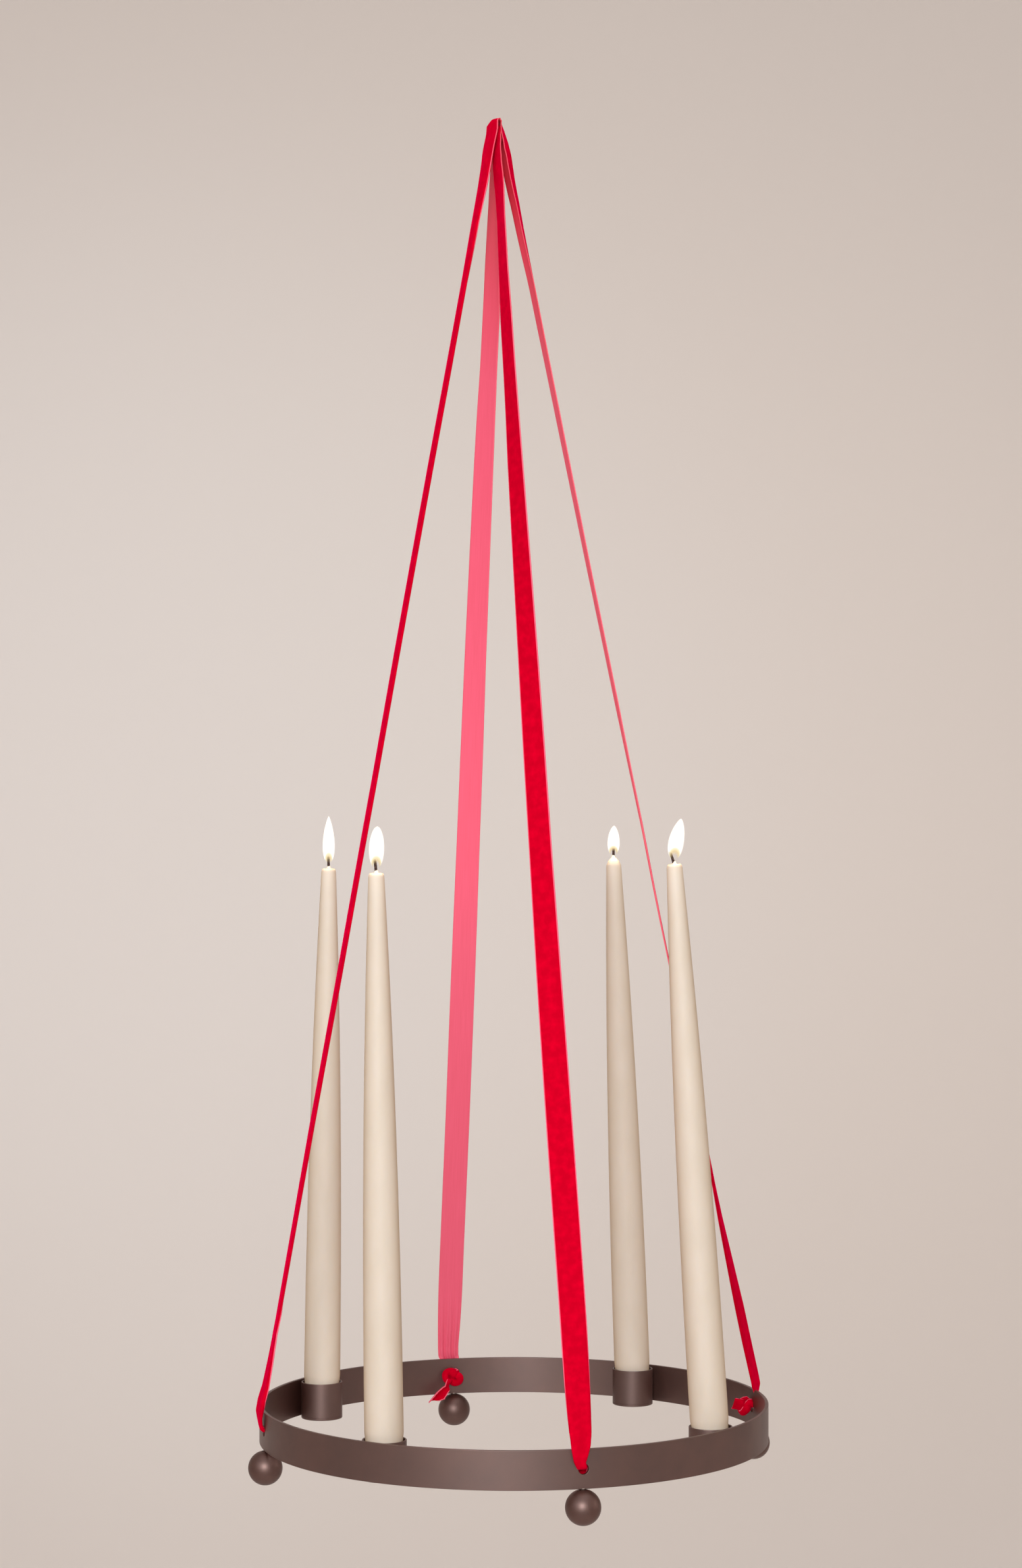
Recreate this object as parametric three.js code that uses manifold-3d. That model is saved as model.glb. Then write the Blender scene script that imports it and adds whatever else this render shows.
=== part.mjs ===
// Hanging advent ring: a dark brass band on four ball feet, with four candle cups and
// candles inside it, hung from two velvet ribbons that cross at the top.
// Millimetres, +Z up. The origin is the hanging point, under the fold of the lower ribbon.
// The holes of the band lie on the X and Y axes through its centre, the front one towards -Y.

import * as THREE from 'three';
import { mergeVertices } from 'three/addons/utils/BufferGeometryUtils.js';
import Module from 'manifold-3d';

const wasm = await Module();
wasm.setup();

// Band
const RING_DIAMETER = 300;
const BAND_HEIGHT = 22;
const BAND_THICKNESS = 2;
const BAND_EDGE_BEVEL = 0.4;
const HOLE_DIAMETER = 6;
const BAND_DROP = 765;
const BAND_SHIFT_X = 9.6;
const BAND_SHIFT_Y = -2.5;
const ROUND_STEPS = 80;

// Gap kept between pieces that touch
const CLEARANCE = 0.3;

// Ball feet
const BALL_DIAMETER = 20;
const BALL_TOP_FLAT = 1.4;
const BALL_FOOT_FLAT = 2.4;

// Candle cups
const CUP_DIAMETER = 25;
const CUP_HEIGHT = 22;
const CUP_WALL = 1;
const CUP_FLOOR = 1.5;
const CUP_BELOW_BAND = 0.7;
const CUP_EDGE_BEVEL = 0.5;
const CUP_RIM_BEVEL = 0.2;

// Candles and wicks
const CANDLE_DIAMETER = 22;
const CANDLE_TOP_DIAMETER = 8.8;
const CANDLE_FOOT_DIAMETER = 20.4;
const CANDLE_FOOT_HEIGHT = 19.6;
const CANDLE_SHOULDER_HEIGHT = 26;
const CANDLE_TAPER = 2.2;
const WICK_DIAMETER = 1.6;
const WICK_SOCKET_DEPTH = 4;
const WICK_HEIGHT = 6.2;

// Ribbons
const RIBBON_THICKNESS = 1;
const BUNCH_THICKNESS = 2;
const BUNCH_ROUNDNESS = 0.6;
const SELVAGE_ROUNDNESS = 0.2;
const HOOK_RADIUS = 1.5;
const UPPER_FOLD_RADIUS = 3;
const KNOT_DEPTH = 7;
const KNOT_WIDTH = 12.4;
const KNOT_HEIGHT = 11;
const TAIL_THICKNESS = 1.2;

// The candles lean within their cups, all to the same side: the direction in plan
const LEAN_TOWARDS = new THREE.Vector2(-0.967, 0.254);

// Angle of each cup round the ring from the front hole, lean and length of its candle
const CANDLES = [
  { name: 'front_left', angle: -47, lean: 0.8, length: 335.2, domed: false },
  { name: 'front_right', angle: 41, lean: 3.6, length: 339.4, domed: false },
  { name: 'back_right', angle: 132, lean: 2.1, length: 338.8, domed: true },
  { name: 'back_left', angle: -134.5, lean: -0.75, length: 333.2, domed: false },
];

const FEET = [
  { name: 'front', angle: 0 },
  { name: 'right', angle: 90 },
  { name: 'back', angle: 180 },
  { name: 'left', angle: -90 },
];

// Half width of a strand at a distance below the hanging point: both ribbons are gathered
// at the top, and the front one stays folded lengthwise the furthest down
const HALF_WIDTHS = {
  front: [[0, 1.3], [12, 1.9], [40, 2.5], [110, 3.3], [260, 5.2], [400, 6.5], [620, 7.4]],
  back: [[0, 1.3], [12, 1.9], [40, 3.6], [110, 4.7], [260, 6.1], [400, 7.0], [620, 7.4]],
  left: [[0, 7.3], [620, 7.4]],
  right: [[0, 7.3], [620, 7.4]],
};

// Depth of the lengthwise fold of a strand, at a distance below the hanging point
const FOLD_DEPTHS = {
  front: [[10, 0], [45, 4], [110, 5.2], [260, 4.2], [400, 2.6], [620, 0.6], [740, 0]],
  back: [[10, 0], [45, 4], [110, 4.4], [260, 3.4], [400, 1.6], [620, 0.4], [740, 0]],
  left: [[20, 0], [60, 2.2], [260, 1.2], [620, 0.3], [740, 0]],
  right: [[20, 0], [60, 2.6], [260, 1.4], [620, 0.3], [740, 0]],
};

const MATERIALS = {
  brass: { color: 0x5a463f, roughness: 0.42, metalness: 0.9 },
  wax: { color: 0xe5d8bc, roughness: 0.5, metalness: 0 },
  wick: { color: 0x2a1d18, roughness: 0.9, metalness: 0 },
  velvet: { color: 0xc4001e, roughness: 0.85, metalness: 0 },
};

const bandOuter = RING_DIAMETER / 2;
const bandInner = bandOuter - BAND_THICKNESS;
const bandMiddle = bandOuter - BAND_THICKNESS / 2;
const bandCentre = new THREE.Vector3(BAND_SHIFT_X, BAND_SHIFT_Y, -BAND_DROP);

const radians = THREE.MathUtils.degToRad;

function material(name) {
  return new THREE.MeshStandardMaterial(MATERIALS[name]);
}

function named(name, geometry, finish) {
  const mesh = new THREE.Mesh(geometry, material(finish));
  mesh.name = name;
  return mesh;
}

// Lathe round Z of a profile of [radius, height] points, from the axis to the axis or closed
function turned(profile, steps) {
  const points = profile.map(([radius, height]) => new THREE.Vector2(radius, height));
  const geometry = new THREE.LatheGeometry(points, steps);
  geometry.rotateX(Math.PI / 2);
  return welded(geometry);
}

function welded(geometry) {
  geometry.deleteAttribute('normal');
  geometry.deleteAttribute('uv');
  return mergeVertices(geometry, 1e-4);
}

function solidOf(geometry) {
  const vertProperties = new Float32Array(geometry.attributes.position.array);
  const triVerts = new Uint32Array(geometry.index.array);
  return new wasm.Manifold(new wasm.Mesh({ numProp: 3, vertProperties, triVerts }));
}

function geometryOf(solid) {
  const mesh = solid.getMesh();
  const geometry = new THREE.BufferGeometry();
  geometry.setAttribute('position', new THREE.BufferAttribute(mesh.vertProperties, 3));
  geometry.setIndex(new THREE.BufferAttribute(mesh.triVerts, 1));
  return geometry;
}

function joined(geometries) {
  const solids = geometries.map(solidOf);
  return geometryOf(solids.reduce((all, solid) => all.add(solid)));
}

// Point on the band's own plan, at an angle from the front hole and a radius
function onRing(angle, radius, height) {
  const turn = radians(angle);
  return new THREE.Vector3(radius * Math.sin(turn), -radius * Math.cos(turn), height);
}

// Flat bar bent to a ring, drilled through at the four ribbon holes
function bandGeometry() {
  const top = BAND_HEIGHT / 2;
  const bevel = BAND_EDGE_BEVEL;
  const band = turned([
    [bandInner, -top + bevel],
    [bandInner + bevel, -top],
    [bandOuter - bevel, -top],
    [bandOuter, -top + bevel],
    [bandOuter, top - bevel],
    [bandOuter - bevel, top],
    [bandInner + bevel, top],
    [bandInner, top - bevel],
    [bandInner, -top + bevel],
  ], ROUND_STEPS);
  let solid = solidOf(band);
  for (const foot of FEET) {
    solid = solid.subtract(solidOf(holeGeometry(foot.angle)));
  }
  return geometryOf(solid);
}

function holeGeometry(angle) {
  const radius = HOLE_DIAMETER / 2;
  const drill = new THREE.CylinderGeometry(radius, radius, 4 * BAND_THICKNESS, 24);
  const centre = onRing(angle, bandMiddle, 0);
  drill.rotateZ(radians(angle));
  drill.translate(centre.x, centre.y, centre.z);
  return welded(drill);
}

// Ball with a small flat on top, where it is soldered to the band, and one to stand on
function ballGeometry() {
  const radius = BALL_DIAMETER / 2;
  const start = Math.asin(BALL_FOOT_FLAT / radius);
  const end = Math.PI - Math.asin(BALL_TOP_FLAT / radius);
  const steps = 10;
  const profile = [[0, -radius * Math.cos(start)]];
  for (let i = 0; i <= steps; i += 1) {
    const angle = start + ((end - start) * i) / steps;
    profile.push([radius * Math.sin(angle), -radius * Math.cos(angle)]);
  }
  profile.push([0, -radius * Math.cos(end)]);
  return turned(profile, 24);
}

// Cup turned from tube with a closed floor
function cupGeometry() {
  const outer = CUP_DIAMETER / 2;
  const inner = outer - CUP_WALL;
  return turned([
    [0, 0],
    [outer - CUP_EDGE_BEVEL, 0],
    [outer, CUP_EDGE_BEVEL],
    [outer, CUP_HEIGHT - CUP_RIM_BEVEL],
    [outer - CUP_RIM_BEVEL, CUP_HEIGHT],
    [inner + CUP_RIM_BEVEL, CUP_HEIGHT],
    [inner, CUP_HEIGHT - CUP_RIM_BEVEL],
    [inner, CUP_FLOOR],
    [0, CUP_FLOOR],
  ], 32);
}

// Taper candle with a narrower foot, and a burnt top, domed or flat, round the wick's socket
function candleGeometry(length, domed) {
  const foot = CANDLE_FOOT_DIAMETER / 2;
  const profile = [[0, 0], [foot - 0.6, 0], [foot, 0.6], [foot, CANDLE_FOOT_HEIGHT]];
  const steps = 8;
  const shoulder = length - (domed ? 5 : 1.2);
  for (let i = 0; i <= steps; i += 1) {
    const height = CANDLE_SHOULDER_HEIGHT + ((shoulder - CANDLE_SHOULDER_HEIGHT) * i) / steps;
    profile.push([candleRadius(height, length), height]);
  }
  const socket = WICK_DIAMETER / 2 + CLEARANCE;
  const rim = CANDLE_TOP_DIAMETER / 2;
  if (domed) {
    profile.push([rim * 0.8, length - 2.4], [rim * 0.5, length - 0.7]);
  } else {
    profile.push([rim - 0.7, length]);
  }
  const bottom = length - WICK_SOCKET_DEPTH;
  profile.push([socket, length], [socket, bottom], [0, bottom]);
  return turned(profile, 24);
}

function candleRadius(height, length) {
  const shrink = (CANDLE_DIAMETER - CANDLE_TOP_DIAMETER) * (height / length) ** CANDLE_TAPER;
  return (CANDLE_DIAMETER - shrink) / 2;
}

function wickGeometry() {
  const radius = WICK_DIAMETER / 2;
  const height = WICK_SOCKET_DEPTH - CLEARANCE + WICK_HEIGHT;
  return turned([
    [0, 0],
    [radius, 0],
    [radius, height - 1],
    [radius * 0.6, height],
    [0, height],
  ], 10);
}

function valueAt(keys, x) {
  if (x <= keys[0][0]) return keys[0][1];
  for (let i = 1; i < keys.length; i += 1) {
    const [x0, y0] = keys[i - 1];
    const [x1, y1] = keys[i];
    if (x <= x1) return y0 + ((y1 - y0) * (x - x0)) / (x1 - x0);
  }
  return keys[keys.length - 1][1];
}

// Closed tube through sections, each a ring of the same number of points, from end to end
function lofted(sections) {
  const count = sections[0].length;
  const positions = sections.flat().flatMap((point) => [point.x, point.y, point.z]);
  const index = [];
  for (let s = 0; s + 1 < sections.length; s += 1) {
    for (let i = 0; i < count; i += 1) {
      const a = s * count + i;
      const b = s * count + ((i + 1) % count);
      index.push(a, b, b + count, a, b + count, a + count);
    }
  }
  const last = (sections.length - 1) * count;
  const half = count / 2;
  for (let i = 0; i + 1 < half; i += 1) {
    const j = count - 1 - i;
    index.push(i, j, j - 1, i, j - 1, i + 1);
    index.push(last + i, last + j - 1, last + j, last + i, last + i + 1, last + j - 1);
  }
  const geometry = new THREE.BufferGeometry();
  geometry.setAttribute('position', new THREE.Float32BufferAttribute(positions, 3));
  geometry.setIndex(index);
  return geometry;
}

// Section of a ribbon: width along X, folded back at both sides by `fold`, thinner towards
// the selvages by `round`. The station's own heading in the YZ plane sets its normal.
function ribbonSection(station) {
  const { along, height, heading, halfWidth, thickness, fold, round } = station;
  const normal = new THREE.Vector2(-Math.sin(heading), Math.cos(heading));
  const sides = [-1, -0.5, 0, 0.5, 1];
  const pointAt = (side, sign) => {
    const half = (thickness / 2) * Math.sqrt(1 - round * side * side);
    const out = sign * half - fold * Math.abs(side);
    return new THREE.Vector3(halfWidth * side, along + normal.x * out, height + normal.y * out);
  };
  const outside = sides.map((side) => pointAt(side, 1));
  const inside = sides.map((side) => pointAt(side, -1)).reverse();
  return [...outside, ...inside];
}

// Stations from the knot, out through the hole and up beside the band. `u` is the distance
// from the middle of the band, outwards along Y; `end` is -1 at the first hole, 1 at the other.
function holeStations(end, ringAlong, ringHeight) {
  const face = BAND_THICKNESS / 2;
  const steps = [
    { u: -face - 2.5, z: 0, turn: 0, halfWidth: 2.6, thickness: 5, round: 0.96 },
    { u: face + 0.2, z: 0, turn: 0, halfWidth: 2.6, thickness: 5, round: 0.96 },
    { u: face + 1.6, z: 0.9, turn: 45, halfWidth: 2.9, thickness: 3.8, round: 0.9 },
    { u: face + 2.0, z: 4.4, turn: 93, halfWidth: 3.7, thickness: 2.8, round: 0.6 },
    { u: face + 1.3, z: 11.8, turn: 98, halfWidth: 5.2, thickness: 1.7, round: 0.3 },
  ];
  const hole = ringAlong + end * bandMiddle;
  const stations = steps.map(({ u, z, turn, halfWidth, thickness, round }) => ({
    along: hole + end * u,
    height: ringHeight + z,
    heading: end < 0 ? Math.PI - radians(turn) : radians(turn) + Math.PI,
    halfWidth,
    thickness,
    fold: 0,
    round,
  }));
  return stations;
}

// Stations of one straight strand, from beside the band up to the fold over the top
function strandStations(side, end, from, foldRadius, foldHeight, topThickness) {
  const topAlong = end * foldRadius;
  const lean = Math.atan2(Math.abs(from.along - topAlong), foldHeight - from.height);
  const start = new THREE.Vector2(from.along, from.height);
  const finish = new THREE.Vector2(
    end * foldRadius * Math.cos(lean),
    foldHeight + foldRadius * Math.sin(lean),
  );
  const depths = [728, 690, 620, 510, 400, 320, 260, 200, 150, 110, 75, 45, 28, 16, 8];
  return depths.map((depth) => {
    const t = (start.y + depth) / (start.y - finish.y);
    const point = start.clone().lerp(finish, t);
    const nearBand = Math.max(0, (depth - 700) / 40);
    return {
      along: point.x,
      height: point.y,
      heading: end < 0 ? Math.PI / 2 - lean : -Math.PI / 2 + lean,
      halfWidth: valueAt(HALF_WIDTHS[side], depth) - 0.9 * nearBand,
      thickness: valueAt([[8, topThickness], [28, RIBBON_THICKNESS]], depth),
      fold: valueAt(FOLD_DEPTHS[side], depth),
      round: valueAt([[8, BUNCH_ROUNDNESS], [28, SELVAGE_ROUNDNESS]], depth),
    };
  });
}

// Stations round the fold over the top
function foldStations(side, foldRadius, foldHeight, topThickness) {
  const stations = [];
  for (const turn of [72, 48, 24, 0, -24, -48, -72]) {
    const heading = radians(turn);
    stations.push({
      along: -foldRadius * Math.sin(heading),
      height: foldHeight + foldRadius * Math.cos(heading),
      heading,
      halfWidth: HALF_WIDTHS[side][0][1],
      thickness: topThickness,
      fold: 0,
      round: BUNCH_ROUNDNESS,
    });
  }
  return stations;
}

// Knot inside the band, with the ribbon's cut end as a short tail
function knotGeometries(end, ringAlong, ringHeight, tail) {
  const centre = new THREE.Vector3(
    tail.shift,
    ringAlong + end * (bandInner - CLEARANCE - KNOT_DEPTH / 2),
    ringHeight + tail.rise,
  );
  const knot = new THREE.IcosahedronGeometry(1, 2);
  knot.scale(KNOT_WIDTH / 2, KNOT_DEPTH / 2, KNOT_HEIGHT / 2);
  knot.translate(centre.x, centre.y, centre.z);
  const reach = new THREE.Vector3(tail.aside, -end * tail.inward, tail.drop);
  const direction = reach.clone().normalize();
  const across = new THREE.Vector3(0, -end, 0).cross(direction).normalize();
  const flat = direction.clone().cross(across).normalize();
  const sections = [0, 0.5, 1].map((t) => {
    const middle = centre.clone().addScaledVector(reach, t);
    const halfWidth = 2.5 + (tail.width / 2 - 2.5) * t;
    const corner = (x, y) => middle.clone()
      .addScaledVector(across, x * halfWidth)
      .addScaledVector(flat, (y * TAIL_THICKNESS) / 2);
    return [corner(-1, -1), corner(1, -1), corner(1, 1), corner(-1, 1)];
  });
  return [welded(knot), lofted(sections)];
}

// One whole ribbon in its own plane: Y along it, Z up, X across its width
function ribbonGeometry(ribbon, ringAlong, ringHeight) {
  const { sides, foldRadius, foldHeight, topThickness, tails } = ribbon;
  const first = holeStations(-1, ringAlong, ringHeight);
  const second = holeStations(1, ringAlong, ringHeight);
  const up = strandStations(sides[0], -1, first.at(-1), foldRadius, foldHeight, topThickness);
  const down = strandStations(sides[1], 1, second.at(-1), foldRadius, foldHeight, topThickness);
  const over = foldStations(sides[0], foldRadius, foldHeight, topThickness);
  const stations = [...first, ...up, ...over, ...down.reverse(), ...second.reverse()];
  return joined([
    lofted(stations.map(ribbonSection)),
    ...knotGeometries(-1, ringAlong, ringHeight, tails[0]),
    ...knotGeometries(1, ringAlong, ringHeight, tails[1]),
  ]);
}

// Turns a ribbon's own plane so that it holds the hanging point and both of its holes
function placeRibbon(mesh, along) {
  const down = bandCentre.clone().addScaledVector(along, -bandCentre.dot(along));
  const up = down.negate().normalize();
  const across = along.clone().cross(up);
  mesh.quaternion.setFromRotationMatrix(new THREE.Matrix4().makeBasis(across, along, up));
  return mesh;
}

const lowerRibbon = {
  sides: ['front', 'back'],
  foldRadius: HOOK_RADIUS + BUNCH_THICKNESS / 2,
  foldHeight: -HOOK_RADIUS,
  topThickness: BUNCH_THICKNESS,
  tails: [
    { shift: 1, rise: -1.8, aside: 8, inward: 5, drop: -12, width: 9 },
    { shift: -1.6, rise: -1.8, aside: -12, inward: 4, drop: -13, width: 8 },
  ],
};

const upperFoldTop = BUNCH_THICKNESS + CLEARANCE + RIBBON_THICKNESS / 2;
const upperRibbon = {
  sides: ['left', 'right'],
  foldRadius: UPPER_FOLD_RADIUS,
  foldHeight: upperFoldTop - UPPER_FOLD_RADIUS,
  topThickness: RIBBON_THICKNESS,
  tails: [
    { shift: 0, rise: -0.5, aside: 5, inward: 9, drop: 4, width: 8 },
    { shift: 0, rise: -0.4, aside: -2, inward: 11, drop: 4, width: 8 },
  ],
};

const group = new THREE.Group();

const ring = new THREE.Group();
ring.position.copy(bandCentre);
group.add(ring);

ring.add(named('ring_band', bandGeometry(), 'brass'));

const ballTop = (BALL_DIAMETER / 2) * Math.cos(Math.asin((2 * BALL_TOP_FLAT) / BALL_DIAMETER));
for (const foot of FEET) {
  const ball = named(`ball_foot_${foot.name}`, ballGeometry(), 'brass');
  ball.position.copy(onRing(foot.angle, bandMiddle, -BAND_HEIGHT / 2 - CLEARANCE - ballTop));
  ring.add(ball);
}

const cupBase = BAND_HEIGHT / 2 - CUP_BELOW_BAND - CUP_HEIGHT;
const cupRadius = bandInner - CLEARANCE - CUP_DIAMETER / 2;
for (const { name, angle, lean, length, domed } of CANDLES) {
  const cup = named(`cup_${name}`, cupGeometry(), 'brass');
  cup.position.copy(onRing(angle, cupRadius, cupBase));
  ring.add(cup);

  const tilt = radians(lean);
  const footLift = (CANDLE_FOOT_DIAMETER / 2) * Math.abs(Math.sin(tilt));
  const footShift = (-CUP_HEIGHT / 2) * Math.sin(tilt);
  const standing = new THREE.Group();
  standing.position.copy(cup.position);
  standing.position.x += footShift * LEAN_TOWARDS.x;
  standing.position.y += footShift * LEAN_TOWARDS.y;
  standing.position.z += CUP_FLOOR + CLEARANCE + footLift;
  const hinge = new THREE.Vector3(-LEAN_TOWARDS.y, LEAN_TOWARDS.x, 0).normalize();
  standing.quaternion.setFromAxisAngle(hinge, tilt);
  ring.add(standing);

  standing.add(named(`candle_${name}`, candleGeometry(length, domed), 'wax'));
  const wick = named(`wick_${name}`, wickGeometry(), 'wick');
  wick.position.z = length - WICK_SOCKET_DEPTH + CLEARANCE;
  standing.add(wick);
}

const alongY = new THREE.Vector3(0, 1, 0);
const alongX = new THREE.Vector3(1, 0, 0);
const ribbons = [
  { name: 'ribbon_front_back', shape: lowerRibbon, along: alongY },
  { name: 'ribbon_left_right', shape: upperRibbon, along: alongX },
];
for (const { name, shape, along } of ribbons) {
  const ringAlong = bandCentre.dot(along);
  const ringHeight = -bandCentre.clone().addScaledVector(along, -ringAlong).length();
  const mesh = named(name, ribbonGeometry(shape, ringAlong, ringHeight), 'velvet');
  group.add(placeRibbon(mesh, along));
}

export default group;
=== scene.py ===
import math
import random

import bpy
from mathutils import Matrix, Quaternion, Vector


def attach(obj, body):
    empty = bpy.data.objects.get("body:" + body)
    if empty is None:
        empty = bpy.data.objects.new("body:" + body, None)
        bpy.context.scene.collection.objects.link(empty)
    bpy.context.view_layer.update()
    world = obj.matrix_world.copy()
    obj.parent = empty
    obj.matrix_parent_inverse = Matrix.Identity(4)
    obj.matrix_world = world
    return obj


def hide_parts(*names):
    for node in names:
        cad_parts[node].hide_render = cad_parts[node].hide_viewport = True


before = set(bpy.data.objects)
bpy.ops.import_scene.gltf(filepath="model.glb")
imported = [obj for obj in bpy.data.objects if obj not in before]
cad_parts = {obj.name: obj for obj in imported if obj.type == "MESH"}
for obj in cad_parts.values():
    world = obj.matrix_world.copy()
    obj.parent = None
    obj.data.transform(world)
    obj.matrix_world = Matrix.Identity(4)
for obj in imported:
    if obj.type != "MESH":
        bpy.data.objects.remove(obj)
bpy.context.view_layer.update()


# Camera
# A long lens on a level stand, about two metres from the ring and a little to the left of
# its front hole, at half the height of the hanging piece.
CAMERA_PLACE = (-0.4948, -1.9189, -0.3900)
CAMERA_TURN = -14.696
LENS = 77.03

camera_data = bpy.data.cameras.new("camera")
camera_data.lens = LENS
camera = bpy.data.objects.new("camera", camera_data)
camera.location = CAMERA_PLACE
camera.rotation_euler = (math.radians(90), 0, math.radians(CAMERA_TURN))
bpy.context.scene.collection.objects.link(camera)
bpy.context.scene.camera = camera
bpy.context.scene.view_settings.view_transform = "Standard"


# Backdrop and light
# A pale paper sweep, floor and wall in one, stands all round the hanging ring. Four soft boxes
# light the ring from behind the camera, from both sides and from above, and two spots light
# the wall behind it, one of them cooler.
SWEEP_FLOOR = -2.6
SWEEP_RADIUS = 5.0
SWEEP_BEND = 1.2
SWEEP_BEND_STEPS = 8
SWEEP_TOP = 3.4
SWEEP_COLOR = (0.86, 0.81, 0.775, 1)
SWEEP_ROUGHNESS = 0.95
SWEEP_GLOSS = 0.1
SOFT_BOX_AIM = (0.0, 0.0, -0.5)
SOFT_BOXES = [
    ("soft_box_front", (-0.945, -2.53, 0.145), 0.9, 62, (1.0, 0.97, 0.95)),
    ("soft_box_left", (-2.6, -1.6, 0.7), 1.6, 10, (0.95, 0.97, 1.0)),
    ("soft_box_right", (2.9, -0.8, 0.2), 1.6, 9, (1.0, 0.92, 0.85)),
    ("soft_box_above", (0.2, -0.3, 2.6), 3.0, 26, (1.0, 0.98, 0.96)),
]
WALL_LAMPS = [
    ("wall_lamp_middle", (0.45, 1.2, -0.3), (1.08, 4.8, -0.45), 64, 62, (1.0, 0.975, 0.945)),
    ("wall_lamp_left", (-0.3, 1.4, -0.3), (0.35, 5.0, -0.45), 54, 46, (0.55, 0.80, 1.0)),
]
WALL_LAMP_SIZE = 0.2
ROOM_COLOR = (1.0, 0.95, 0.92, 1)
ROOM_LIGHT = 0.5


def deselect():
    bpy.ops.object.select_all(action="DESELECT")


def pick(obj):
    """Makes obj the only selected object and the active one."""
    deselect()
    obj.select_set(True)
    bpy.context.view_layer.objects.active = obj


def edit(obj):
    """Goes to edit mode with the whole mesh selected."""
    pick(obj)
    bpy.ops.object.mode_set(mode="EDIT")
    bpy.ops.mesh.select_all(action="SELECT")


def apply_place(obj):
    pick(obj)
    bpy.ops.object.transform_apply(location=True, rotation=True, scale=True)


def disc(name, vertices, radius):
    """A filled circle, left in edit mode and selected."""
    deselect()
    bpy.ops.mesh.primitive_circle_add(vertices=vertices, radius=radius, fill_type="NGON")
    made = bpy.context.object
    made.name = name
    edit(made)
    return made


def grow(profile, radius):
    """Extrudes the selected end face through a profile of (height, radius) stations."""
    height = 0
    for next_height, next_radius in profile:
        bpy.ops.mesh.extrude_region_move(
            TRANSFORM_OT_translate={"value": (0, 0, next_height - height)}
        )
        scale = next_radius / radius
        bpy.ops.transform.resize(
            value=(scale, scale, 1), center_override=(0, 0, next_height)
        )
        height, radius = next_height, next_radius


def close_form(sharp_angle=None, inside=False):
    """Leaves edit mode with the faces turned outwards, smooth but for edges past the angle."""
    bpy.ops.mesh.select_all(action="SELECT")
    bpy.ops.mesh.normals_make_consistent(inside=inside)
    bpy.ops.object.mode_set(mode="OBJECT")
    if sharp_angle:
        bpy.ops.object.shade_smooth_by_angle(angle=math.radians(sharp_angle))
    else:
        bpy.ops.object.shade_smooth()


def fill(made, inputs):
    """Gives the inputs of a node their values, or links them to outputs of other nodes."""
    for name, value in inputs.items():
        if isinstance(value, bpy.types.NodeSocket):
            made.id_data.links.new(value, made.inputs[name])
        else:
            made.inputs[name].default_value = value


def plain_material(name, color, roughness):
    material = bpy.data.materials.new(name)
    material.use_nodes = True
    shader = material.node_tree.nodes["Principled BSDF"]
    fill(shader, {"Base Color": color, "Roughness": roughness})
    return material, shader


def hang_light(light, place, target):
    lamp = bpy.data.objects.new(light.name, light)
    lamp.location = place
    aim = Vector(target) - Vector(place)
    lamp.rotation_euler = aim.to_track_quat("-Z", "Y").to_euler()
    bpy.context.scene.collection.objects.link(lamp)
    return lamp


floor_radius = SWEEP_RADIUS - SWEEP_BEND
bend_stations = []
for step in range(1, SWEEP_BEND_STEPS + 1):
    turn = math.radians(90 * step / SWEEP_BEND_STEPS)
    height = SWEEP_BEND * (1 - math.cos(turn))
    bend_stations.append((height, SWEEP_RADIUS - SWEEP_BEND * (1 - math.sin(turn))))
sweep = disc("sweep", 160, floor_radius)
grow([(0.0001, floor_radius)], floor_radius)
grow(bend_stations, floor_radius)
bpy.ops.mesh.extrude_region_move(
    TRANSFORM_OT_translate={"value": (0, 0, SWEEP_TOP - SWEEP_FLOOR - SWEEP_BEND)}
)
bpy.ops.mesh.delete(type="ONLY_FACE")
close_form(inside=True)
sweep.location.z = SWEEP_FLOOR
apply_place(sweep)
paper, paper_shader = plain_material("paper", SWEEP_COLOR, SWEEP_ROUGHNESS)
fill(paper_shader, {"Specular IOR Level": SWEEP_GLOSS})
sweep.data.materials.append(paper)

for name, place, size, power, color in SOFT_BOXES:
    light = bpy.data.lights.new(name, "AREA")
    light.size = size
    light.energy = power
    light.color = color
    lamp = hang_light(light, place, SOFT_BOX_AIM)
    lamp.visible_camera = False

for name, place, target, spread, power, color in WALL_LAMPS:
    light = bpy.data.lights.new(name, "SPOT")
    light.spot_size = math.radians(spread)
    light.spot_blend = 1
    light.shadow_soft_size = WALL_LAMP_SIZE
    light.energy = power
    light.color = color
    hang_light(light, place, target)

world = bpy.data.worlds.new("studio")
world.use_nodes = True
fill(world.node_tree.nodes["Background"], {"Color": ROOM_COLOR, "Strength": ROOM_LIGHT})
bpy.context.scene.world = world


# Ring band
# A flat brass bar, 22 by 2 mm, bent to a ring of 300 mm, drilled through at four sides for
# the ribbons, eased along its arrises and bronzed a mottled dark brown.
RING_CENTRE = Vector((0.0096, -0.0025, -0.765))
BAND_OUTER = 0.150
BAND_HEIGHT = 0.022
BAND_THICKNESS = 0.002
BAND_MIDDLE = BAND_OUTER - BAND_THICKNESS / 2
BAND_ARRIS = 0.0004
HOLE_RADIUS = 0.003
DRILL_DEPTH = 0.02
SIDES = [("front", 0), ("right", 90), ("back", 180), ("left", -90)]
BRONZE_DARK = (0.058, 0.011, 0.004, 1)
BRONZE_LIGHT = (0.086, 0.022, 0.011, 1)
BRONZE_SPECKLE = 0.3
BRONZE_COAT = 1.92
METALLIC = 0.75
COAT_ROUGHNESS = 0.48
COAT_AT_GRAZING = 0.45


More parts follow.
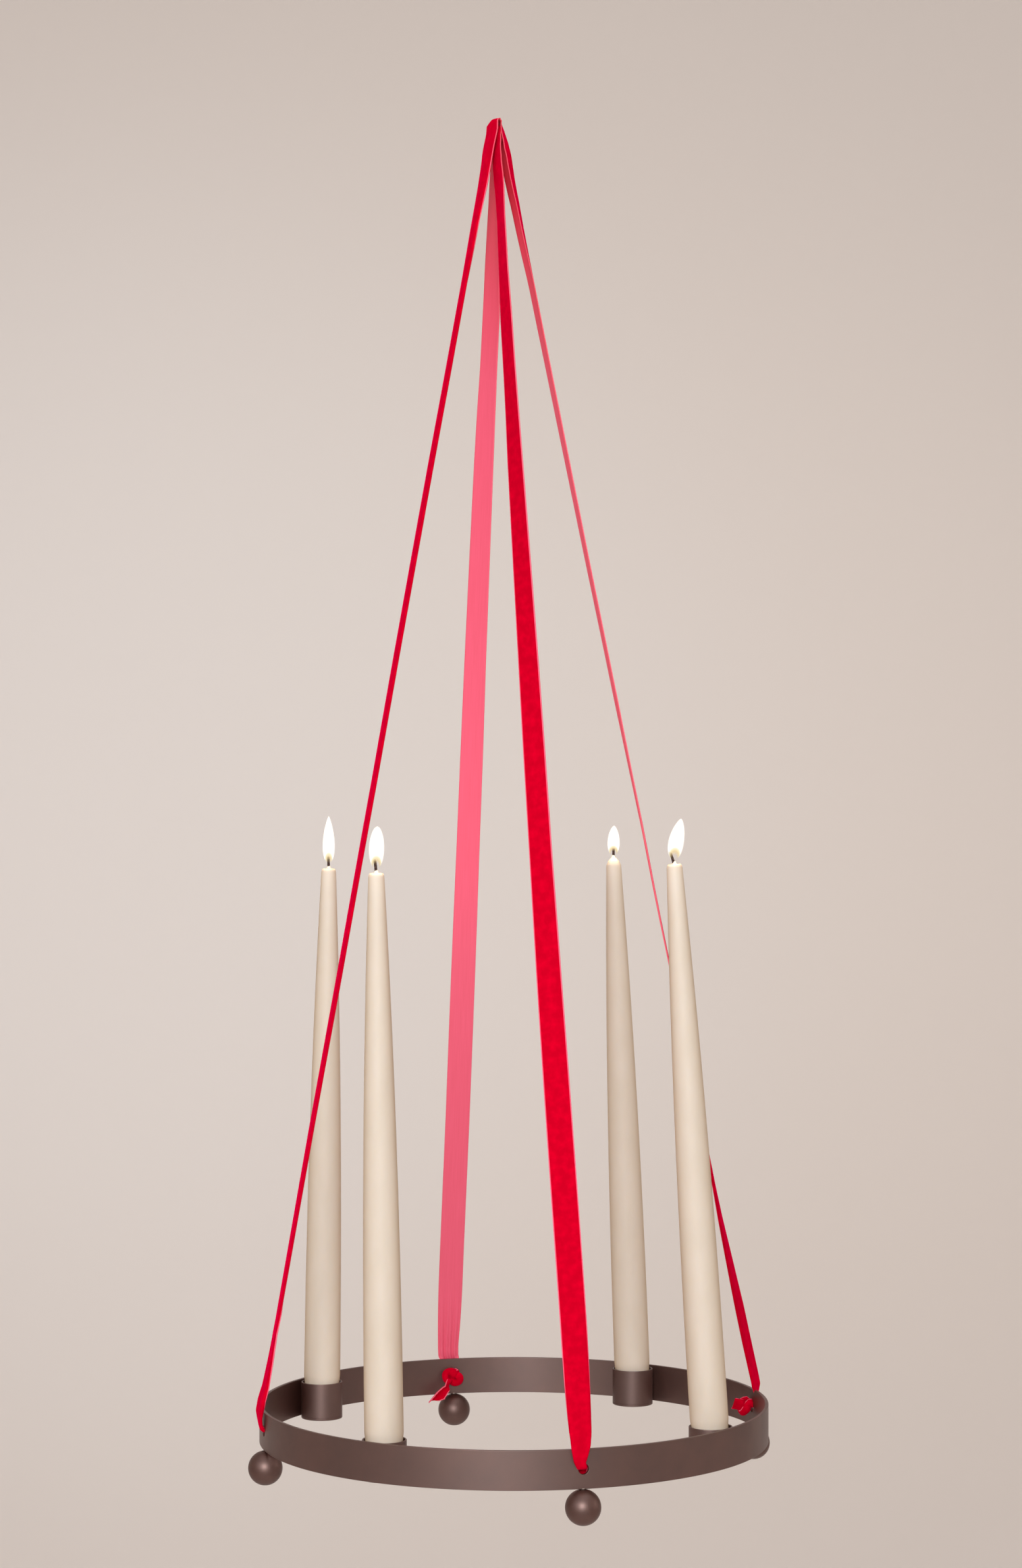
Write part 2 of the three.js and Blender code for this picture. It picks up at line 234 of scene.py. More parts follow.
def on_ring(angle, radius, height):
    """The point at an angle from the front hole, a radius from the ring's middle."""
    turn = math.radians(angle)
    x, y = radius * math.sin(turn), -radius * math.cos(turn)
    return RING_CENTRE + Vector((x, y, height))


def use_modifier(obj, kind, **settings):
    """Adds a modifier with its settings and applies it."""
    pick(obj)
    made = obj.modifiers.new("shaping", kind)
    for name, value in settings.items():
        setattr(made, name, value)
    bpy.ops.object.modifier_apply(modifier="shaping")


def node(tree, kind, inputs=None, **settings):
    """A new node with its settings and its inputs."""
    made = tree.nodes.new(kind)
    for name, value in settings.items():
        setattr(made, name, value)
    fill(made, inputs or {})
    return made


def coordinates(tree, kind):
    return node(tree, "ShaderNodeTexCoord").outputs[kind]


def noise(tree, place, scale, detail, roughness=0.5):
    inputs = {"Vector": place, "Scale": scale, "Detail": detail, "Roughness": roughness}
    return node(tree, "ShaderNodeTexNoise", inputs).outputs["Fac"]


def map_range(tree, value, low, high, to_low=0, to_high=1, kind="LINEAR"):
    inputs = {
        "Value": value, "From Min": low, "From Max": high, "To Min": to_low, "To Max": to_high,
    }
    return node(tree, "ShaderNodeMapRange", inputs, interpolation_type=kind).outputs["Result"]


def mix(tree, factor, a, b):
    inputs = {"Factor": factor, "A": a, "B": b}
    return node(tree, "ShaderNodeMix", inputs, data_type="RGBA").outputs["Result"]


def reckon(tree, operation, *values):
    inputs = dict(enumerate(values))
    return node(tree, "ShaderNodeMath", inputs, operation=operation).outputs["Value"]


def bump(tree, height, strength, distance):
    inputs = {"Height": height, "Strength": strength, "Distance": distance}
    return node(tree, "ShaderNodeBump", inputs).outputs["Normal"]


def group(name, inputs, outputs):
    """A new node group with its sockets, its input node and its output node."""
    tree = bpy.data.node_groups.new(name, "ShaderNodeTree")
    for way, sockets in (("INPUT", inputs), ("OUTPUT", outputs)):
        for socket, kind in sockets.items():
            tree.interface.new_socket(socket, in_out=way, socket_type=f"NodeSocket{kind}")
    return tree, node(tree, "NodeGroupInput"), node(tree, "NodeGroupOutput")


def patina_group():
    """Mottled brown skin: colour, roughness and height from Object coordinates."""
    tree, start, end = group(
        "patina",
        {"Dark": "Color", "Light": "Color", "Speckle": "Float"},
        {"Color": "Color", "Roughness": "Float", "Height": "Float"},
    )
    place = coordinates(tree, "Object")
    cloud = noise(tree, place, 38, 6, 0.62)
    grain = noise(tree, place, 1500, 3)
    spread = map_range(tree, cloud, 0.34, 0.68)
    speck = reckon(tree, "MULTIPLY_ADD", grain, start.outputs["Speckle"], spread)
    tone = mix(tree, speck, start.outputs["Dark"], start.outputs["Light"])
    rough = map_range(tree, cloud, 0, 1, 0.52, 0.43)
    fill(end, {"Color": tone, "Roughness": rough, "Height": grain})
    return tree


PATINA = patina_group()


def bronzed(name, dark, light, speckle, coat):
    """Brown skin under a clear wax, which is thinner where it is seen at a grazing angle."""
    material, shader = plain_material(name, dark, 0.42)
    tree = material.node_tree
    inputs = {"Dark": dark, "Light": light, "Speckle": speckle}
    skin = node(tree, "ShaderNodeGroup", inputs, node_tree=PATINA).outputs
    facing = node(tree, "ShaderNodeLayerWeight").outputs["Facing"]
    fill(
        shader,
        {
            "Base Color": skin["Color"],
            "Roughness": skin["Roughness"],
            "Metallic": METALLIC,
            "Coat Weight": map_range(tree, facing, 0.05, 0.6, 1, COAT_AT_GRAZING),
            "Coat IOR": coat,
            "Coat Roughness": COAT_ROUGHNESS,
            "Normal": bump(tree, skin["Height"], 0.12, 0.0002),
        },
    )
    return material


def flat_normals(obj):
    """Keeps wide faces flat beside their eased edges."""
    use_modifier(obj, "WEIGHTED_NORMAL", keep_sharp=True)


bronze = bronzed("bronzed_brass", BRONZE_DARK, BRONZE_LIGHT, BRONZE_SPECKLE, BRONZE_COAT)

deselect()
bpy.ops.mesh.primitive_cylinder_add(
    vertices=240, radius=BAND_OUTER, depth=BAND_HEIGHT, end_fill_type="NOTHING"
)
band = bpy.context.object
band.name = "band"
use_modifier(band, "SOLIDIFY", thickness=BAND_THICKNESS, offset=-1)
for side, angle in SIDES:
    turn = math.radians(angle)
    deselect()
    bpy.ops.mesh.primitive_cylinder_add(
        vertices=48,
        radius=HOLE_RADIUS,
        depth=DRILL_DEPTH,
        location=(BAND_OUTER * math.sin(turn), -BAND_OUTER * math.cos(turn), 0),
        rotation=(math.radians(90), 0, turn),
    )
    drill = bpy.context.object
    use_modifier(band, "BOOLEAN", object=drill, solver="EXACT")
    bpy.data.objects.remove(drill)
use_modifier(
    band,
    "BEVEL",
    width=BAND_ARRIS,
    segments=3,
    limit_method="ANGLE",
    angle_limit=math.radians(50),
)
bpy.ops.object.shade_smooth_by_angle(angle=math.radians(40))
flat_normals(band)
band.location = RING_CENTRE
apply_place(band)
band.data.materials.append(bronze)
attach(band, "root")
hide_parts("ring_band")


# Ball feet
# Four turned brass balls, 20 mm across, each with a small flat to stand on. A bead of solder
# holds each one to the lower edge of the band, straight below a ribbon hole.
BALL_RADIUS = 0.010
BALL_TOP_FLAT = 0.0014
BALL_FOOT_FLAT = 0.0024
BALL_GAP = 0.0003
BALL_COAT = 1.75
BEAD_HALF_WIDTH = 0.0021
BEAD_HALF_DEPTH = 0.0012
BEAD_SINK = 0.0008
BEAD_UNEVEN = 0.00012
BEAD_PROFILE = [
    (0.0003, 0.0017), (0.0006, 0.0015), (0.0010, 0.0016), (0.0014, 0.0020), (0.0015, 0.0018),
]
SOLDER_DARK = (0.17, 0.125, 0.105, 1)
SOLDER_LIGHT = (0.32, 0.26, 0.225, 1)
SOLDER_SPECKLE = 0.6
SOLDER_COAT = 1.8


def cut_flat(height, up):
    """Cuts the mesh off level at a height, on the side that up (1 or -1) points to."""
    bpy.ops.mesh.select_all(action="SELECT")
    bpy.ops.mesh.bisect(
        plane_co=(0, 0, height), plane_no=(0, 0, up), use_fill=True, clear_outer=True
    )


def join(main, extra):
    pick(main)
    extra.select_set(True)
    bpy.ops.object.join()


def set_down(first, name, place, angle):
    """A copy of a finished piece, with its own mesh, turned outwards at its place."""
    piece = first.copy()
    piece.data = first.data.copy()
    piece.name = name
    bpy.context.scene.collection.objects.link(piece)
    piece.location = place
    piece.rotation_euler.z = math.radians(angle)
    apply_place(piece)
    return piece


solder = bronzed("solder", SOLDER_DARK, SOLDER_LIGHT, SOLDER_SPECKLE, SOLDER_COAT)
ball_bronze = bronzed("bronzed_ball", BRONZE_DARK, BRONZE_LIGHT, BRONZE_SPECKLE, BALL_COAT)
ball_top = math.sqrt(BALL_RADIUS**2 - BALL_TOP_FLAT**2)
ball_foot = math.sqrt(BALL_RADIUS**2 - BALL_FOOT_FLAT**2)

deselect()
bpy.ops.mesh.primitive_uv_sphere_add(segments=72, ring_count=36, radius=BALL_RADIUS)
first_ball = bpy.context.object
edit(first_ball)
cut_flat(ball_top, 1)
cut_flat(-ball_foot, -1)
bpy.ops.object.mode_set(mode="OBJECT")
bpy.ops.object.shade_smooth_by_angle(angle=math.radians(12))
first_ball.data.materials.append(ball_bronze)

first_bead = disc("bead", 32, BEAD_HALF_WIDTH)
grow(BEAD_PROFILE, BEAD_HALF_WIDTH)
bpy.ops.mesh.select_all(action="SELECT")
bpy.ops.transform.vertex_random(offset=BEAD_UNEVEN, seed=4)
bpy.ops.transform.resize(
    value=(1, BEAD_HALF_DEPTH / BEAD_HALF_WIDTH, 1), center_override=(0, 0, 0)
)
close_form()
first_bead.data.materials.append(solder)
first_bead.location.z = ball_top - BEAD_SINK
apply_place(first_bead)
join(first_ball, first_bead)

for side, angle in SIDES:
    place = on_ring(angle, BAND_MIDDLE, -BAND_HEIGHT / 2 - BALL_GAP - ball_top)
    ball = set_down(first_ball, f"ball_{side}", place, angle)
    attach(ball, "root")
    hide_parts(f"ball_foot_{side}")
bpy.data.objects.remove(first_ball)


# Candle cups
# Four thin brass cups, 25 mm across and 22 mm high, turned with a base disc that shows as a
# fine groove. Each is soldered to the inner face of the band, half way between two holes.
CUP_RADIUS = 0.0125
CUP_HEIGHT = 0.022
CUP_WALL = 0.001
CUP_FLOOR = 0.0015
CUP_INNER = CUP_RADIUS - CUP_WALL
CUP_FOOT = 0.0122
CUP_GROOVE = 0.01238
CUP_RIM_DROP = 0.0007
CUP_BASE = BAND_HEIGHT / 2 - CUP_RIM_DROP - CUP_HEIGHT
CUP_GAP = 0.0003
CUP_DISTANCE = BAND_OUTER - BAND_THICKNESS - CUP_GAP - CUP_RADIUS
CUP_ANGLES = {"front_left": -47, "front_right": 41, "back_right": 132, "back_left": -134.5}
CUP_PROFILE = [
    (0.0001, 0.0124),
    (0.0003, CUP_RADIUS),
    (0.0013, CUP_RADIUS),
    (0.0014, CUP_GROOVE),
    (0.0016, CUP_GROOVE),
    (0.0017, CUP_RADIUS),
    (0.0110, CUP_RADIUS),
    (CUP_HEIGHT - 0.0003, CUP_RADIUS),
    (CUP_HEIGHT - 0.0001, 0.01242),
    (CUP_HEIGHT, 0.0123),
    (CUP_HEIGHT, 0.0117),
    (CUP_HEIGHT - 0.0001, 0.01155),
    (CUP_HEIGHT - 0.0003, CUP_INNER),
    (0.0110, CUP_INNER),
    (CUP_FLOOR + 0.0006, CUP_INNER),
    (CUP_FLOOR, CUP_INNER - 0.0006),
]
SEAM_RADIUS = 0.0021
SEAM_FOOT = SEAM_RADIUS * 0.6
SEAM_FLATNESS = 0.26
SEAM_PLACE = (0, -CUP_RADIUS - 0.0001, 0.0014)
SEAM_PROFILE = [
    (0.0004, SEAM_RADIUS),
    (0.0060, SEAM_RADIUS * 0.92),
    (0.0120, SEAM_RADIUS),
    (0.0186, SEAM_RADIUS * 0.95),
    (0.0192, SEAM_RADIUS * 0.5),
]

first_cup = disc("cup", 96, CUP_FOOT)
grow(CUP_PROFILE, CUP_FOOT)
close_form(50)
flat_normals(first_cup)
first_cup.data.materials.append(bronze)

first_seam = disc("seam", 24, SEAM_FOOT)
grow(SEAM_PROFILE, SEAM_FOOT)
bpy.ops.mesh.select_all(action="SELECT")
bpy.ops.transform.resize(value=(1, SEAM_FLATNESS, 1), center_override=(0, 0, 0))
close_form()
first_seam.data.materials.append(bronze)
first_seam.location = SEAM_PLACE
apply_place(first_seam)
join(first_cup, first_seam)

for place, angle in CUP_ANGLES.items():
    spot = on_ring(angle, CUP_DISTANCE, CUP_BASE)
    cup = set_down(first_cup, f"candle_cup_{place}", spot, angle)
    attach(cup, "root")
    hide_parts(f"cup_{place}")
bpy.data.objects.remove(first_cup)


# Candles
# Four dipped ivory tapers, 22 mm thick at the shoulder above a foot trimmed to fit the cup.
# They lean a little, all but one to the left, and have burnt down to a flat or domed top
# with a small cone of wax round the wick.
LEAN_TOWARDS = Vector((-0.967, 0.254, 0)).normalized()
CANDLE_RADIUS = 0.011
CANDLE_TOP_RADIUS = 0.0044
CANDLE_FOOT_RADIUS = 0.0106
CANDLE_FOOT_HEIGHT = 0.0196
CANDLE_FOOT_EDGE = 0.0006
CANDLE_GAP = 0.0003
CANDLE_SHOULDER = 0.0245
CANDLE_TAPER = 2.2
CANDLE_STEPS = 24
CANDLES = {
    "front_left": {"lean": 0.8, "length": 0.3352, "domed": False},
    "front_right": {"lean": 3.6, "length": 0.3394, "domed": False},
    "back_right": {"lean": 2.1, "length": 0.3388, "domed": True},
    "back_left": {"lean": -0.75, "length": 0.3332, "domed": False},
}
# Each kind of top: how far below the candle's length it starts, and its stations, as height
# above that length and share of the top radius
DOMED_START = 0.005
DOMED_TOP = [
    (-0.0036, 0.92), (-0.0022, 0.77), (-0.0011, 0.57), (-0.0003, 0.38), (0.0004, 0.26),
]
FLAT_START = 0.0022
FLAT_TOP = [(-0.0012, 0.97), (-0.0004, 0.88), (0, 0.74), (-0.0001, 0.5), (0.0002, 0.34)]
WAX_CONE = [(0.0007, 0.0011), (0.0014, 0.0009), (0.0017, 0.0006)]
WAX_DARK = (0.575, 0.515, 0.43, 1)
WAX_LIGHT = (0.65, 0.592, 0.523, 1)
# Painted shade: a darker, warmer tone for the candle's edges as seen
WAX_PAINTED_EDGE_SHADE = (0.47, 0.32, 0.18, 1)
WAX_PLAIN = (0.77, 0.66, 0.47, 1)
# Painted glow: emission on the wax near its top, in place of the flame's light
WAX_PAINTED_GLOW = (1, 0.97, 0.93, 1)
PAINTED_GLOW_STRENGTH = 0.05
PAINTED_GLOW_DEPTH = 0.040


def candle_radius(height, length):
    shrink = (CANDLE_RADIUS - CANDLE_TOP_RADIUS) * (height / length) ** CANDLE_TAPER
    return CANDLE_RADIUS - shrink


def candle_profile(length, domed):
    """Stations of (height, radius) from the foot over the shoulder to the cone of wax."""
    profile = [
        (0.0002, CANDLE_FOOT_RADIUS - 0.0002),
        (0.0006, CANDLE_FOOT_RADIUS),
        (CANDLE_FOOT_HEIGHT, CANDLE_FOOT_RADIUS),
    ]
    for share in (0.25, 0.5, 0.75, 1):
        height = CANDLE_FOOT_HEIGHT + (CANDLE_SHOULDER - CANDLE_FOOT_HEIGHT) * share
        ease = share * share * (3 - 2 * share)
        full = candle_radius(height, length)
        profile.append((height, CANDLE_FOOT_RADIUS + (full - CANDLE_FOOT_RADIUS) * ease))
    top_start = length - (DOMED_START if domed else FLAT_START)
    for step in range(1, CANDLE_STEPS + 1):
        height = CANDLE_SHOULDER + (top_start - CANDLE_SHOULDER) * step / CANDLE_STEPS
        profile.append((height, candle_radius(height, length)))
    for rise, share in DOMED_TOP if domed else FLAT_TOP:
        profile.append((length + rise, CANDLE_TOP_RADIUS * share))
    for rise, radius in WAX_CONE:
        profile.append((length + rise, radius))
    return profile


def wax_group():
    """Ivory wax: cloudy colour, with a painted glow, as emission, towards the top where the flame
    shines in.
    """
    tree, start, end = group(
        "wax", {"Top": "Float"}, {"Color": "Color", "Glow": "Color", "Height": "Float"}
    )
    place = coordinates(tree, "Object")
    inputs = {"Vector": place, "Scale": (1, 1, 0.35)}
    stretched = node(tree, "ShaderNodeMapping", inputs).outputs["Vector"]
    tone = mix(tree, noise(tree, stretched, 120, 5), WAX_DARK, WAX_LIGHT)
    height = node(tree, "ShaderNodeSeparateXYZ", {"Vector": place}).outputs["Z"]
    below = reckon(tree, "SUBTRACT", start.outputs["Top"], height)
    # Painted glow: emission fading down from the top stands in for the flame's light in the wax
    fade = map_range(tree, below, 0.001, PAINTED_GLOW_DEPTH, 1, 0, "SMOOTHSTEP")
    glow = mix(tree, fade, (0, 0, 0, 1), WAX_PAINTED_GLOW)
    fill(end, {"Color": tone, "Glow": glow, "Height": noise(tree, stretched, 55, 2)})
    return tree


WAX = wax_group()
candle_tips = {}
for place, shape in CANDLES.items():
    length = shape["length"]
    tilt = math.radians(shape["lean"])
    foot = on_ring(CUP_ANGLES[place], CUP_DISTANCE, CUP_BASE)
    foot += LEAN_TOWARDS * (-CUP_HEIGHT / 2 * math.sin(tilt))
    foot.z += CUP_FLOOR + CANDLE_GAP + CANDLE_FOOT_RADIUS * abs(math.sin(tilt))
    upright = LEAN_TOWARDS * math.sin(tilt) + Vector((0, 0, math.cos(tilt)))
    hinge = Vector((-LEAN_TOWARDS.y, LEAN_TOWARDS.x, 0))

    candle = disc(f"taper_{place}", 72, CANDLE_FOOT_RADIUS - CANDLE_FOOT_EDGE)
    grow(candle_profile(length, shape["domed"]), CANDLE_FOOT_RADIUS - CANDLE_FOOT_EDGE)
    close_form(60)
    candle.rotation_mode = "QUATERNION"
    candle.rotation_quaternion = Quaternion(hinge, tilt)
    candle.location = foot
    apply_place(candle)

    wax, wax_shader = plain_material(f"ivory_wax_{place}", WAX_PLAIN, 0.55)
    tree = wax.node_tree
    inputs = {"Top": (foot + upright * length).z}
    body = node(tree, "ShaderNodeGroup", inputs, node_tree=WAX).outputs
    facing = node(tree, "ShaderNodeLayerWeight", {"Blend": 0.35}).outputs["Facing"]
    # Painted shade: the wax is mixed towards a darker, warmer tone at its edges as seen, by Layer
    # Weight; the emission is the painted glow near the top
    fill(
        wax_shader,
        {
            "Base Color": mix(tree, facing, body["Color"], WAX_PAINTED_EDGE_SHADE),
            "Emission Color": body["Glow"],
            "Emission Strength": PAINTED_GLOW_STRENGTH,
            "Specular IOR Level": 0.35,
            "Subsurface Weight": 0.35,
            "Subsurface Radius": (1.0, 0.75, 0.5),
            "Subsurface Scale": 0.003,
            "Normal": bump(tree, body["Height"], 0.25, 0.0006),
        },
    )
    candle.data.materials.append(wax)
    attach(candle, "root")
    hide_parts(f"candle_{place}")
    candle_tips[place] = (foot + upright * length, upright)


# Wicks
# Braided cotton, 1.8 mm thick and charred black, standing out of the small cone of wax that
# it draws up. Each one bends over a little towards its tip.
WICK_RADIUS = 0.0009
WICK_SINK = 0.003
WICK_STEPS = 14
WICK_SHAPES = {
    "front_left": {"height": 0.0078, "bend": 4},
    "front_right": {"height": 0.0076, "bend": 12},
    "back_right": {"height": 0.0060, "bend": -2},
    "back_left": {"height": 0.0075, "bend": 2},
}
WICK_SWELLS = (0.95, 1.05)
WICK_TIP = 0.6
SOOT_DARK = (0.010, 0.004, 0.004, 1)
SOOT_LIGHT = (0.038, 0.014, 0.012, 1)
SOOT_PLAIN = (0.020, 0.011, 0.010, 1)

char, char_shader = plain_material("charred_cotton", SOOT_PLAIN, 0.9)
tree = char.node_tree
inputs = {"Vector": coordinates(tree, "Object"), "Scale": 420, "Distortion": 2.5}
braid = node(tree, "ShaderNodeTexWave", inputs, bands_direction="DIAGONAL").outputs["Fac"]
soot = mix(tree, braid, SOOT_DARK, SOOT_LIGHT)
fill(char_shader, {"Base Color": soot, "Normal": bump(tree, braid, 0.6, 0.0002)})

for place, shape in WICK_SHAPES.items():
    tip, upright = candle_tips[place]
    move = (WICK_SINK + shape["height"]) / WICK_STEPS
    wick = disc(f"burnt_wick_{place}", 16, WICK_RADIUS * 0.9)
    aside = 0
    height = 0
    for step in range(1, WICK_STEPS + 1):
        bend = math.radians(shape["bend"]) * (step / WICK_STEPS) * 2
        bpy.ops.mesh.extrude_region_move(
            TRANSFORM_OT_translate={"value": (-move * math.sin(bend), 0, move * math.cos(bend))}
        )
        aside -= move * math.sin(bend)
        height += move * math.cos(bend)
        swell = WICK_TIP if step == WICK_STEPS else WICK_SWELLS[step % 2]
        bpy.ops.transform.resize(
            value=(swell, swell, 1), center_override=(aside, 0, height)
        )
    close_form(70)
    wick.rotation_mode = "QUATERNION"
    wick.rotation_quaternion = Vector((0, 0, 1)).rotation_difference(upright)
    wick.location = tip - upright * WICK_SINK
    apply_place(wick)
    wick.data.materials.append(char)
    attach(wick, "root")
    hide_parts(f"wick_{place}")


# Flames
# Four burning flames, each a soft drop of light round its wick: clear at the foot, yellow at
# the tip of the wick and white above. One is blown a little to the right. A weak warm lamp
# in each one lights the top of its candle.
FLAMES = {
    "front_left": {"rise": 0.0021, "height": 0.0240, "width": 0.0087, "top": 0.55},
    "front_right": {"rise": 0.0023, "height": 0.0236, "width": 0.0092, "top": 0.72},
    "back_right": {"rise": 0.0010, "height": 0.0190, "width": 0.0078, "top": 0.66},
    "back_left": {"rise": 0.0030, "height": 0.0290, "width": 0.0076, "top": 0.85},
}
FLAME_SWAYS = {
    "front_left": 0.0006, "front_right": 0.0040, "back_right": 0.0004, "back_left": 0.0,
}
FLAME_STEPS = 26
FLAME_FOOT = 0.0004
FLAME_TIP = 0.00005
FLAME_BRIGHTNESS = 1.6
FLAME_ROUNDING = 0.3
FLAME_FOOT_FADE = 0.12
FLAME_EDGE_FADE = (0.12, 0.97)
# Colours from the tip of the wick upwards and outwards
FLAME_COLORS = [
    (0.0, (0.59, 0.46, 0.25, 1)),
    (0.3, (0.65, 0.59, 0.41, 1)),
    (0.5, (0.86, 0.83, 0.74, 1)),
    (1.0, (1.0, 0.95, 0.86, 1)),
]
GLOW_LAMP_POWER = 0.05
GLOW_LAMP_COLOR = (1.0, 0.80, 0.58)
GLOW_LAMP_SIZE = 0.006

for place, shape in FLAMES.items():
    tip, upright = candle_tips[place]
    base = tip + Vector((0, 0, shape["rise"]))
    power = shape["top"]
    peak = 0.5 / (0.5 + power)
    full = peak**0.5 * (1 - peak) ** power
    stations = []
    for step in range(1, FLAME_STEPS):
        share = step / FLAME_STEPS
        girth = share**0.5 * (1 - share) ** power / full
        stations.append((shape["height"] * share, shape["width"] / 2 * girth))
    stations.append((shape["height"], FLAME_TIP))
    flame = disc(f"flame_{place}", 40, FLAME_FOOT)
    grow(stations, FLAME_FOOT)
    close_form()
    for vertex in flame.data.vertices:
        share = vertex.co.z / shape["height"]
        vertex.co.x += FLAME_SWAYS[place] * share**1.6
    flame.location = base
    apply_place(flame)

    fire, fire_shader = plain_material(f"fire_{place}", (0, 0, 0, 1), 1.0)
    tree = fire.node_tree
    wick_share = (WICK_SHAPES[place]["height"] - shape["rise"]) / shape["height"]
    inputs = {"Vector": coordinates(tree, "Object")}
    level = node(tree, "ShaderNodeSeparateXYZ", inputs).outputs["Z"]
    climb = map_range(tree, level, base.z, base.z + shape["height"])
    facing = node(tree, "ShaderNodeLayerWeight", {"Blend": 0.5}).outputs["Facing"]
    reach = reckon(tree, "MULTIPLY_ADD", facing, FLAME_ROUNDING, climb)
    past_wick = map_range(tree, reach, wick_share, wick_share + 0.20)
    colors = node(tree, "ShaderNodeValToRGB", {"Fac": past_wick})
    ramp = colors.color_ramp.elements
    for element, (position, color) in zip(ramp, (FLAME_COLORS[0], FLAME_COLORS[-1])):
        element.position = position
        element.color = color
    for position, color in FLAME_COLORS[1:-1]:
        ramp.new(position).color = color
    above_wick = map_range(tree, reach, wick_share - 0.09, wick_share + 0.06, kind="SMOOTHSTEP")
    above_foot = map_range(tree, climb, 0, FLAME_FOOT_FADE, kind="SMOOTHSTEP")
    soft_edge = map_range(tree, facing, *FLAME_EDGE_FADE, 1, 0, "SMOOTHSTEP")
    rising = reckon(tree, "MULTIPLY", above_wick, above_foot)
    fill(
        fire_shader,
        {
            "Specular IOR Level": 0,
            "Emission Strength": FLAME_BRIGHTNESS,
            "Emission Color": colors.outputs["Color"],
            "Alpha": reckon(tree, "MULTIPLY", rising, soft_edge),
        },
    )
    flame.data.materials.append(fire)
    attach(flame, "root")

    glow = bpy.data.lights.new(f"glow_{place}", "POINT")
    glow.energy = GLOW_LAMP_POWER
    glow.color = GLOW_LAMP_COLOR
    glow.shadow_soft_size = GLOW_LAMP_SIZE
    glow_lamp = bpy.data.objects.new(f"glow_{place}", glow)
    glow_lamp.location = base + Vector((0, 0, shape["height"] * 0.5))
    bpy.context.scene.collection.objects.link(glow_lamp)


# Ribbons
# Two lengths of red velvet ribbon, 15 mm wide, with a pink satin back and pink selvages.
# Each runs from a knot inside the band out through a hole, up over the hanging point and
# down to the opposite hole. The lower one stands on edge near the top and untwists on its
# way down. The upper one lies askew over it and turns less. Both are gathered at the holes.
RIBBON_WIDTH = 0.015
RIBBON_THICKNESS = 0.00055
RIBBON_POINTS = 33
SECTION_STEPS = 4
MM = 0.001
# From here on, sizes are in millimetres and angles in degrees
LOWER_FOLD_RADIUS = 3.05
LOWER_FOLD_TOP = 0.45  # height of the top of the fold above the hanging point
UPPER_FOLD_RADIUS = 2.6
UPPER_FOLD_TOP = 1.8
FOLD_STEPS = 16
STRAND_STEPS = 300
STRAND_EASE = 1.12
STRAND_SPACING = 0.8
KNOT_SPACING = 0.7
CREASE_REACH = 0.8  # half the width over which a crease comes about
PLEAT = 3.9  # from one fine pleat to the next, where a strand has them
HOLE_DISTANCE = BAND_MIDDLE / MM
VELVET_DARK = (0.50, 0.0, 0.014, 1)
VELVET_LIGHT = (0.64, 0.0, 0.019, 1)
VELVET_EDGE = (0.93, 0.14, 0.24, 1)
VELVET_PLAIN = (0.72, 0.0, 0.025, 1)
VELVET_SHEEN = (1.0, 0.0, 0.10, 1)
SATIN_DARK = (0.72, 0.052, 0.118, 1)
SATIN_LIGHT = (0.83, 0.088, 0.188, 1)
# Painted shade and painted red bounce light for the satin near the fold over the top
SATIN_PAINTED_SHADE_AT_FOLD = (0.66, 0.012, 0.045, 1)
SATIN_SHEEN = (1.0, 0.02, 0.04, 1)
SELVAGE_DARK = (0.84, 0.07, 0.14, 1)
SELVAGE_LIGHT = (0.95, 0.12, 0.20, 1)
FOLD_AT = 56.2  # the fold's place along the ribbon, in ribbon widths, as the UVs count them


def velvet_material():
    """Deep red pile, brushed unevenly, with the pink selvage along both edges."""
    material, shader = plain_material("velvet", VELVET_PLAIN, 0.85)
    tree = material.node_tree
    where = node(tree, "ShaderNodeTexCoord").outputs
    pile = noise(tree, where["Object"], 5200, 2)
    uv = where["UV"]
    brushed = noise(tree, uv, 3.0, 3)
    tone = map_range(tree, reckon(tree, "MULTIPLY_ADD", pile, 0.2, brushed), 0.5, 0.85)
    red = mix(tree, tone, VELVET_DARK, VELVET_LIGHT)
    over = node(tree, "ShaderNodeSeparateXYZ", {"Vector": uv}).outputs["X"]
    from_middle = reckon(tree, "ABSOLUTE", reckon(tree, "SUBTRACT", over, 0.5))
    edge = map_range(tree, from_middle, 0.458, 0.474)
    fill(
        shader,
        {
            "Base Color": mix(tree, edge, red, VELVET_EDGE),
            "Normal": bump(tree, pile, 0.35, 0.0002),
            "Specular IOR Level": 0.0,
            "Sheen Weight": 0.5,
            "Sheen Roughness": 0.4,
            "Sheen Tint": VELVET_SHEEN,
        },
    )
    return material


